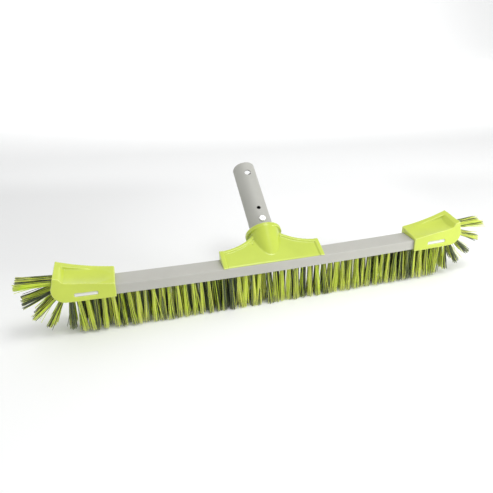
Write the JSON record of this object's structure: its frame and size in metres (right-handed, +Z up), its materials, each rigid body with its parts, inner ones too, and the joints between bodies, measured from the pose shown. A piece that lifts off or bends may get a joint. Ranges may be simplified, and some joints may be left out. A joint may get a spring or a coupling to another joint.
{
  "type": "pool wall brush",
  "caption": "Long bowed pool brush with tufts along its underside, fans of tufts round both ends, clip-on end caps and a slanted tube that takes a pole.",
  "frame": {"origin": "middle of the overall box, at the height of the lowest bristle tips", "axes": "+X along the brush, +Y towards the rear where the handle leans, +Z up"},
  "size_m": [0.605, 0.1628, 0.1469],
  "materials": {
    "painted_back": "grey enamel on a bent aluminium back, satin",
    "painted_handle": "grey enamel on aluminium tube, satin",
    "body_plastic": "off-white moulded plastic, matte",
    "lime_plastic": "lime green moulded plastic, satin gloss",
    "green_bristle": "lime green nylon filament",
    "dark_bristle": "black-green nylon filament",
    "screw_steel": "stainless steel screws, machined",
    "anchor_wire": "flat stainless staking wire"
  },
  "bodies": {
    "root": {"back_channel": "painted_back", "brush_body": "body_plastic", "end_cap_left": "lime_plastic", "end_cap_right": "lime_plastic", "handle_bracket": "lime_plastic", "handle_tube": "painted_handle", "handle_screw": "screw_steel", "bracket_screws": "screw_steel", "back_end_screws": "screw_steel", "tufts_front_row": "green_bristle", "tufts_inner_front_row": "dark_bristle", "tufts_inner_rear_row": "dark_bristle", "tufts_rear_row": "green_bristle", "fan_tufts_left_outer": "green_bristle", "fan_tufts_left_inner": "dark_bristle", "fan_tufts_right_outer": "green_bristle", "fan_tufts_right_inner": "dark_bristle", "tuft_anchors": "anchor_wire"}
  },
  "joints": []
}
